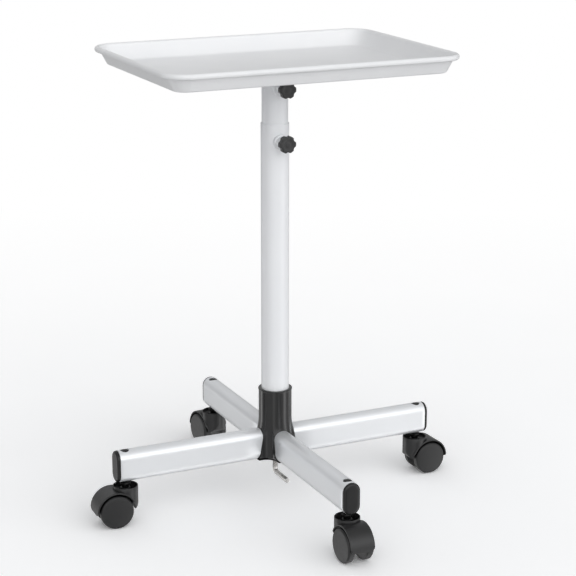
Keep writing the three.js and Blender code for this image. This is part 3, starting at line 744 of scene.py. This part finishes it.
def arm_tube(corner, place, stem_x):
    node = "arm_" + corner
    end, edge = reach(node), 0.45
    # the skin from the hub outwards, round both cut edges and back through the bore
    rings = [oval_ring(x, inset, end_shape=hub_face)
             for x, inset in ((0.0, edge), (0.13, 0.13), (edge, 0.0))]
    stations = [(x, 0) for x in np.linspace(60, end - 6, 9)]
    stations += [(end - edge, 0.0), (end - 0.13, 0.13), (end, edge), (end, ARM_WALL - 0.3),
                 (end - 0.3, ARM_WALL), (60, ARM_WALL)]
    rings += [oval_ring(x, inset) for x, inset in stations]
    rings += [oval_ring(x, inset, end_shape=hub_face)
              for x, inset in ((0.3, ARM_WALL), (0.0, ARM_WALL - 0.3))]
    finish = "arm_x" if corner in ("left", "right") else "arm_y"
    tube = make("arm_tube_" + corner, placed(ring_mesh(rings, loop=True), place), finish, "base")
    # holes above and below, the top one with its edge broken
    at_stem = place @ shift(stem_x, 0, 0)
    top_hole = lathe([(0, ARM_Z + 5), (6.75, ARM_Z + 5), (6.75, ARM_TOP - 0.5),
                      (7.25, ARM_TOP), (7.25, ARM_TOP + 8), (0, ARM_TOP + 8)], 48)
    boolean(tube, [placed(top_hole, at_stem), cylinder(5.6, 40, ARM_Z - 5, 40, at_stem)])
    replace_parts(tube, node)
    return end


def end_cap(corner, place, at_stem, end):
    """domed face over the tube's end, and the insert inside the tube"""
    node = "arm_end_cap_" + corner
    face = reach(node)
    fit, edge = ARM_WALL + ARM_GAP, 0.35
    insert = end - 22.2
    # (distance out, inset)
    section = [(insert, fit + 0.8), (insert + 0.8, fit), (end + ARM_GAP, fit),
               (end + ARM_GAP, edge + 0.25), (end + ARM_GAP + 0.2, edge + 0.05),
               (end + ARM_GAP + 0.5, edge)]
    for angle in np.radians(np.linspace(0, 78, 11)):
        section.append((face - 3.5 + 3.3 * math.sin(angle),
                        edge + 3.7 * (1 - math.cos(angle))))
    section += [(face - 0.12, 4.0), (face - 0.03, 5.4), (face, 7.0), (face, 11.5)]
    solid = ring_mesh([oval_ring(x, inset) for x, inset in section])
    cap = make("end_cap_" + corner, placed(solid, place), "cap", "base", sharp=42)
    boolean(cap, [cylinder(5.3, 40, 99, 32, at_stem), cylinder(10.3, 97, 140, 40, at_stem)],
            sharp=42)
    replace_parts(cap, node)


def hole_plug(corner, at_stem):
    """plug in the arm's top hole"""
    node = "arm_hole_plug_" + corner
    low, high = heights(node)
    plug = lathe(fillet([
        (0, low), (8.0, low, 0.4), (8.0, low + 3.4, 0.3), (6.5, low + 5.0, 0.3),
        (6.5, high - 0.1, 0.5), (5.4, high + 0.55, 0.6), (3.0, high + 1.05),
        (0, high + 1.2)], seg=4), 48)
    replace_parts(make("hole_plug_" + corner, placed(plug, at_stem), "plug", "base"), node)


def hex_nut(name, node, body, flats, bore, place):
    """hexagonal nut with rounded-off corners; flats is the width across them"""
    sides = 72
    low, high = heights(node)
    hexagon = (flats / 2) / np.cos((turns(sides) % (np.pi / 3)) - np.pi / 6)
    corner_r = flats / 2 / math.cos(math.pi / 6)

    def chamfer(height, direction, shares):
        return [(np.minimum(hexagon, flats / 2 - 0.1 + k * (corner_r - flats / 2 + 0.15)),
                 height + direction * 0.75 * k * 1.1) for k in shares]

    profile = [(bore + 0.5, low), (flats / 2 - 0.2, low)]
    profile += chamfer(low, 1, np.linspace(0, 1, 5))
    profile += chamfer(high, -1, np.linspace(1, 0, 5))
    profile += [(flats / 2 - 0.2, high), (bore + 0.5, high), (bore, high - 0.5),
                (bore, low + 0.5)]
    solid = placed(ring_mesh(round_rings(profile, sides), loop=True), place)
    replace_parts(make(name, solid, "steel", body, sharp=28), node)


def thread_rings(radius, depth, pitch, low, high, sides, steps):
    """rings of a single-start V thread, fading out at both ends"""
    turn = turns(sides)
    rings = []
    z = low
    while z <= high + 1e-6:
        phase = (z / pitch - turn / (2 * np.pi)) % 1.0
        crest = 1 - np.abs(2 * phase - 1)               # 0 at the root, 1 at the crest
        crest = np.clip(crest * 1.25 - 0.12, 0, 1)
        fade = min(1.0, (z - low) / (pitch * 0.8), (high - z) / (pitch * 0.8))
        rings.append(round_ring(radius - depth * (1 - crest) * max(fade, 0.0), z, sides))
        z += pitch / steps
    return rings


def caster_stem(corner, at_stem):
    """plain pin, collar, hexagonal flange and thread, from the bottom up"""
    sides = 28
    node = "caster_stem_" + corner
    low, high = heights(node)
    flange_low, flange_high = low + 12.4, low + 17.3
    profile = fillet([(0.6, low), (3.9, low, 0.6), (3.9, low + 9.1, 0.2), (5.6, low + 9.1, 0.3),
                      (5.6, flange_low)], seg=3)
    phase = (turns(sides) % (np.pi / 3)) - np.pi / 6
    hexagon = np.minimum(7.4 / np.cos(phase), 8.4)
    profile += [(7.0, flange_low), (hexagon, flange_low + 0.6), (hexagon, flange_high - 0.6),
                (7.0, flange_high), (4.9, flange_high)]
    rings = round_rings(profile, sides)
    rings += thread_rings(radius=4.9, depth=0.55, pitch=1.5, low=flange_high + 0.6,
                          high=high - 0.9, sides=sides, steps=6)
    rings.append(round_ring(4.2, high, sides))
    solid = placed(ring_mesh(rings), at_stem)
    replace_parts(make("stem_" + corner, solid, "dark_steel", "base", sharp=45), node)


def arm(corner):
    """an arm and what it carries, above the caster"""
    place = turn_z(ARM_ANGLES[corner])
    swivel = joint_place("caster_swivel_" + corner)
    stem_x = math.hypot(*swivel)
    at_stem = place @ shift(stem_x, 0, 0)
    end = arm_tube(corner, place, stem_x)
    end_cap(corner, place, at_stem, end)
    hole_plug(corner, at_stem)
    hex_nut("retaining_nut_" + corner, "stem_nut_" + corner, "base", 17.0, 5.15, at_stem)
    caster_stem(corner, at_stem)


# ------------------------------------------------------------------ bolt under the hub
def hub_bolt():
    """threaded bolt on the Z axis, bent below the hub into a handle towards the front"""
    low, high = box("hub_l_bolt")
    radius, bend, sides = 4.0, 6.0, 32
    smooth = 0.985              # the plain part's radius against the thread's
    top, leg_z, leg_end = high[2], low[2] + radius, low[1]
    turn = turns(sides)

    def leg_ring(y, z, along_y, along_z, scale=smooth):
        return np.stack([scale * radius * np.cos(turn),
                         y + scale * radius * np.sin(turn) * -along_z,
                         z + scale * radius * np.sin(turn) * along_y], 1)

    rings = [round_ring(0.78 * radius, top, sides)]
    rings += thread_rings(radius=radius - 0.02, depth=0.68, pitch=1.25,
                          low=leg_z + bend + 1.2, high=top - 0.6, sides=sides, steps=8)[::-1]
    for angle in np.radians(np.linspace(0, 90, 13)):
        sine, cosine = math.sin(angle), math.cos(angle)
        rings.append(leg_ring(-bend + bend * cosine, leg_z + bend - bend * sine,
                              -sine, -cosine))
    for y in np.linspace(-bend - 4, leg_end + 2.0, 8):
        rings.append(leg_ring(y, leg_z, -1, 0))
    # rounded tip
    for angle in np.radians(np.linspace(15, 90, 6)):
        rings.append(leg_ring(leg_end + 1.0 - 1.0 * math.sin(angle), leg_z, -1, 0,
                              smooth * (1 - 0.26 * (1 - math.cos(angle)))))
    bolt = make("l_handle_bolt", ring_mesh(rings), "steel", "hub_bolt", sharp=60)
    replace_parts(bolt, "hub_l_bolt")

    low, high = heights("hub_washer")
    washer = lathe(fillet([(4.3, low, 0.2), (11.5, low, 0.5), (11.5, high, 0.3),
                           (4.3, high, 0.3)], closed=True, seg=3), 56, closed=True)
    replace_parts(make("bolt_washer", washer, "steel", "hub_bolt"), "hub_washer")
    hex_nut("bolt_nut", "hub_nut", "hub_bolt", 13.0, 4.15, Matrix.Identity(4))


# ------------------------------------------------------------------ casters
# In a caster's own frame the swivel axis is Z and the wheels trail towards +X.
TRAIL, WHEEL_R = 18.6, 25.4
HOOD_R, HOOD_BORE_R, HOOD_HALF = 30.6, 28.5, 19.2
# ends of the hood in degrees about the axle from +X, and the rounding of their corners
REAR, FRONT = -5.0, 172.0
REAR_CORNER, FRONT_CORNER = 7.5, 12.0
RIM_ROUNDING = 0.9
HOOD_STEPS = 96
CUP_R, CUP_SIDES = 18.85, 160
AXLE_PLACE = shift(TRAIL, 0, WHEEL_R) @ turn_x(90)


def hood_band():
    """the arched band about the axle, as an outer and an inner grid"""
    half = [0, 3.5]
    for angle in (0, 8, 16, 24, 32, 40, 48, 55, 62, 68, 73):
        half.append(HOOD_HALF - 12 + 12 * math.sin(math.radians(angle)))
    half += [HOOD_HALF - 0.28, HOOD_HALF - 0.1, HOOD_HALF]
    across = [-y for y in reversed(half[1:])] + half
    count = len(across)

    def end_cut(y, rounding):
        """degrees taken off the end by its rounded corner"""
        over = max(abs(y) - (HOOD_HALF - rounding), 0.0)
        depth = rounding - math.sqrt(max(rounding * rounding - over * over, 0.0))
        return math.degrees(depth / 29.5)

    verts = []
    for k in range(HOOD_STEPS + 1):
        for y in across:
            start, end = REAR + end_cut(y, REAR_CORNER), FRONT - end_cut(y, FRONT_CORNER)
            angle = math.radians(start + (end - start) * k / HOOD_STEPS)
            over = max(abs(y) - (HOOD_HALF - RIM_ROUNDING), 0.0)
            outer = (HOOD_R - RIM_ROUNDING
                     + math.sqrt(max(RIM_ROUNDING ** 2 - over * over, 0.0)))
            inner = HOOD_BORE_R + (0.12 if abs(y) >= HOOD_HALF else 0.0)
            for radius in (outer, inner):
                verts.append((TRAIL + radius * math.cos(angle), y,
                              WHEEL_R + radius * math.sin(angle)))

    def index(k, i, layer):
        return 2 * (k * count + i) + layer

    faces = []
    for k in range(HOOD_STEPS):
        for i in range(count - 1):
            for layer in (0, 1):
                faces.append((index(k, i, layer), index(k + 1, i, layer),
                              index(k + 1, i + 1, layer), index(k, i + 1, layer)))
        for i in (0, count - 1):
            faces.append((index(k, i, 0), index(k + 1, i, 0),
                          index(k + 1, i, 1), index(k, i, 1)))
    for k in (0, HOOD_STEPS):
        for i in range(count - 1):
            faces.append((index(k, i, 0), index(k, i + 1, 0),
                          index(k, i + 1, 1), index(k, i, 1)))
    return verts, faces


def caster_shell(corner, place):
    """cup on the swivel axis, hood over the wheels and the web between them"""
    node = "caster_hood_" + corner
    top = heights(node)[1]
    # the cup, hollow from above: (inset, z)
    section = [(0.0, z) for z in (25.6, 28, 30.5, 33, 35, 37, 39, 41, 43, 45, 47, 52, top - 0.5)]
    section += [(0.15, top - 0.15), (0.5, top), (0.85, top), (1.25, top - 0.4), (1.25, 50.0),
                (1.7, 49.0), (2.8, 48.5)]
    rings = round_rings([(CUP_R - inset, z) for inset, z in section], CUP_SIDES)
    shell = make("caster_shell_" + corner, ring_mesh(rings), "hood", sharp=35)
    # the cup's front wall rounds in underneath to meet the hood's front end
    side_view = [(-24, 66), (-24, 41)]
    side_view += [(-8 - 10.85 * math.cos(angle), 41 - 14.8 * math.sin(angle))
                  for angle in np.linspace(0, 1.5, 22)]
    side_view += [(-7, 26.2), (24, 26.0), (24, 66)]
    boolean(shell, [prism(side_view, 24)], "INTERSECT", sharp=35)
    boolean(shell, [cylinder(HOOD_BORE_R, -40, 40, 160, AXLE_PLACE)], sharp=35)
    web = [(TRAIL + 29.2 * math.cos(angle), WHEEL_R + 29.2 * math.sin(angle))
           for angle in np.radians(np.linspace(REAR + 1.5, FRONT - 1.5, 64))]
    web.append((TRAIL, WHEEL_R))
    web_half = 2.6
    stem_boss = lathe(fillet([(0, 48.0), (7.6, 48.0), (7.6, 57.2, 0.8), (0, 57.2)], seg=4), 56)
    axle_boss = cylinder(6.5, -web_half, web_half, 48, AXLE_PLACE)
    boolean(shell, [hood_band(), prism(web, web_half), axle_boss, stem_boss], "UNION", sharp=35)
    boolean(shell, [cylinder(4.2, 48.2, 70, 36), cylinder(2.7, -10, 10, 32, AXLE_PLACE)],
            sharp=35)
    # the mesh is in metres and place in mm
    shell.data.transform(Matrix.Scale(MM, 4) @ place @ Matrix.Scale(1000, 4))
    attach(shell, "caster_" + corner)
    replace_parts(shell, node)


def caster_axle(corner, place):
    axle = lathe(fillet([(0, -18.0), (2.5, -18.0, 0.5), (2.5, 18.0, 0.5), (0, 18.0)], seg=3), 32)
    obj = make("axle_" + corner, placed(axle, place @ AXLE_PLACE), "steel", "caster_" + corner)
    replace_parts(obj, "caster_axle_" + corner)


def wheels(corner, place):
    """two wheels, each with a blind axle bore, a hub reaching in and a domed outer face"""
    # z is the distance out from the web's middle
    wheel = lathe(fillet([
        (0, 18.5), (2.7, 18.5, 0.2), (2.7, 3.2, 0.3), (6.8, 3.2, 0.5), (7.0, 11.3, 1.0),
        (22.6, 11.3, 0.4), (23.2, 10.5, 0.3), (WHEEL_R, 10.5, 0.6), (WHEEL_R, 18.9, 2.6),
        (23.6, 20.9, 1.0), (20, 21.35), (12, 21.95), (5.0, 22.18), (0, 22.2)], seg=5), 96)
    for side, angle in (("a", -90), ("b", 90)):
        name = "wheel_%s_%s" % (corner, side)
        wheel_place = place @ shift(TRAIL, 0, WHEEL_R) @ turn_x(angle)
        obj = make(name, placed(wheel, wheel_place), "wheel", name, sharp=40)
        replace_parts(obj, "caster_" + name)


def caster(corner):
    swivel_x, swivel_y = joint_place("caster_swivel_" + corner)
    wheel_x, wheel_y = joint_place("wheel_spin_%s_a" % corner)
    trail_angle = math.degrees(math.atan2(wheel_y - swivel_y, wheel_x - swivel_x))
    place = shift(swivel_x, swivel_y, 0) @ turn_z(trail_angle)
    caster_shell(corner, place)
    caster_axle(corner, place)
    wheels(corner, place)


# ------------------------------------------------------------------ floor, light, camera
WHITE = (1, 1, 1, 1)
# Lobes of light are (azimuth, elevation, tightness, strength), in degrees from +X and upwards.
# What reflections see of the floor: an even level and soft bands
BAND_BASE = 0.52
BANDS = [(316, 0, 60.0, 2.0), (5, 0, 50.0, 0.9), (136, 0, 80.0, 1.9), (237, 0, 120.0, 0.6),
         (272, 0, 90.0, -0.38), (161, 0, 120.0, -0.3), (200, 0, 10.0, 0.10)]
# The studio: an even dome, a lobe overhead, one behind and three across the front
DOME = 0.377
STUDIO = [(0, 90, 1.0, 0.094), (90, 20, 8.0, 0.344), (225, 20, 8.0, 0.92),
          (270, 20, 8.0, 1.88), (315, 20, 8.0, 0.948)]


def lobed_light(tree, level, ray, lobes):
    """strength of light along a ray"""
    total = maths(tree, "ADD", level, 0.0)
    for azimuth, elevation, tightness, strength in lobes:
        turn, rise = math.radians(azimuth), math.radians(elevation)
        toward = (math.cos(turn) * math.cos(rise), math.sin(turn) * math.cos(rise),
                  math.sin(rise))
        facing = vector(tree, "DOT_PRODUCT", {0: ray, 1: toward}, "Value")
        lobe = maths(tree, "POWER", maths(tree, "MAXIMUM", facing, 0.0), tightness)
        total = maths(tree, "ADD", total, maths(tree, "MULTIPLY", lobe, strength))
    return total


def floor_material():
    """distances here are in metres"""
    material, tree, shader, output = new_material("pale_floor")
    fine = noise(tree, scale=6)
    rays = add(tree, "LightPath").outputs
    # the camera sees the floor brighter than the light it gives back, with a painted shadow that
    # darkens it round the stand's base and fades outwards
    seen = mix_colour(tree, remap(tree, fine, 0, 1), (1.275, 1.278, 1.285), (1.29, 1.292, 1.30))
    place = add(tree, "NewGeometry").outputs["Position"]
    offset = vector(tree, "SUBTRACT", {0: place, 1: (-0.04, 0.0, 0.0)})
    distance = vector(tree, "LENGTH", {0: offset}, "Value")
    # painted shadow: the floor seen by the camera is scaled from 0.945 near the post up to 1.012
    # beyond 0.62 m
    painted_base_shadow = remap(tree, distance, 0.945, 1.012, start=0.10, end=0.62)
    seen = vector(tree, "SCALE", {0: seen, "Scale": painted_base_shadow})
    feed(tree, shader, {
        "Roughness": 0.75, "Specular IOR Level": 0.1,
        "Base Color": mix_colour(tree, rays["Is Camera Ray"], (0.62, 0.62, 0.625), seen)})
    # it runs out to plain white behind the stand, as the camera looks
    geometry = add(tree, "NewGeometry").outputs
    depth = vector(tree, "DOT_PRODUCT", {0: geometry["Position"], 1: (0.428, 0.904, 0)},
                   "Value")
    plain = add(tree, "Emission", {"Color": WHITE, "Strength": 1.0})
    far = maths(tree, "MULTIPLY", remap(tree, depth, 0, 1, start=0.35, end=1.9),
                rays["Is Camera Ray"])
    surface = mix_shader(tree, far, shader.outputs["BSDF"], plain.outputs[0])
    # in reflections it carries the soft light bands, by level direction only
    level = vector(tree, "MULTIPLY", {0: geometry["Incoming"], 1: (-1, -1, 0)})
    direction = vector(tree, "NORMALIZE", {0: level})
    glow = lobed_light(tree, BAND_BASE, direction, BANDS)
    bands = add(tree, "Emission", {
        "Color": WHITE, "Strength": maths(tree, "MAXIMUM", glow, 0.05)})
    surface = mix_shader(tree, rays["Is Glossy Ray"], surface, bands.outputs[0])
    feed(tree, output, {"Surface": surface})
    return material


def studio_floor():
    radii = (2, 400, 800, 1500, 3000, 8000, 30000)
    rings = round_rings([(radius, -0.02) for radius in radii], 128)
    floor = new_object("studio_floor", ring_mesh(rings, cap_end=False))
    shade_smooth(floor, 32.0)
    floor.data.materials.append(floor_material())


def studio_world():
    """soft studio light, seen by the camera as plain white"""
    world = bpy.data.worlds.new("studio")
    scene.world = world
    world.use_nodes = True
    tree = world.node_tree
    tree.nodes.clear()
    output = add(tree, "OutputWorld")
    ray = add(tree, "TexCoord").outputs["Generated"]
    soft = add(tree, "Background", {
        "Color": (0.992, 0.996, 1.0, 1), "Strength": lobed_light(tree, DOME, ray, STUDIO)})
    plain = add(tree, "Background", {"Color": WHITE})
    seen = add(tree, "LightPath").outputs["Is Camera Ray"]
    feed(tree, output, {
        "Surface": mix_shader(tree, seen, soft.outputs[0], plain.outputs[0])})


def camera():
    place = Vector((-1.0827896, -2.3530166, 1.0701153))     # metres
    pitch = math.radians(15.827786)         # downwards
    yaw = math.radians(-25.326347)          # about Z from +Y
    roll = math.radians(0.124523)
    ahead = Vector((-math.sin(yaw) * math.cos(pitch), math.cos(yaw) * math.cos(pitch),
                    -math.sin(pitch)))
    level = Vector((math.cos(yaw), math.sin(yaw), 0))
    upright = level.cross(ahead)
    right = math.cos(roll) * level + math.sin(roll) * upright
    above = -math.sin(roll) * level + math.cos(roll) * upright
    data = bpy.data.cameras.new("camera")
    data.sensor_width = 36.0
    data.sensor_fit = "HORIZONTAL"
    data.lens = 111.94535375
    data.shift_x = -0.00962878125
    data.shift_y = -0.000667640625
    data.clip_start = 0.05
    data.clip_end = 100
    obj = bpy.data.objects.new("camera", data)
    obj.matrix_world = Matrix((*zip(right, above, -ahead, place), (0, 0, 0, 1)))
    scene.collection.objects.link(obj)
    scene.camera = obj


# ------------------------------------------------------------------ build
tray()
tray_mount()
tray_screws()
post_tube("outer_post_tube", "lower_post_tube", "base", radius=LOWER_TUBE_R, bore=19.8,
          top_rounding=1.0, stud="lower_knob_stud")
post_tube("inner_post_tube", "upper_post_tube", "upper_post", radius=UPPER_TUBE_R, bore=18.0,
          top_rounding=0.5, stud="upper_knob_stud")
post_glide()
post_plug()
knob("lower", "lower_knob", "base", LOWER_TUBE_R)
knob("upper", "upper_knob", "upper_post", UPPER_TUBE_R)
hub()
for name in ARM_ANGLES:
    arm(name)
hub_bolt()
for name in ARM_ANGLES:
    caster(name)
studio_floor()
studio_world()
camera()
scene.view_settings.view_transform = "Standard"
scene.view_settings.look = "None"
scene.view_settings.exposure = 0.0
scene.view_settings.gamma = 1.0
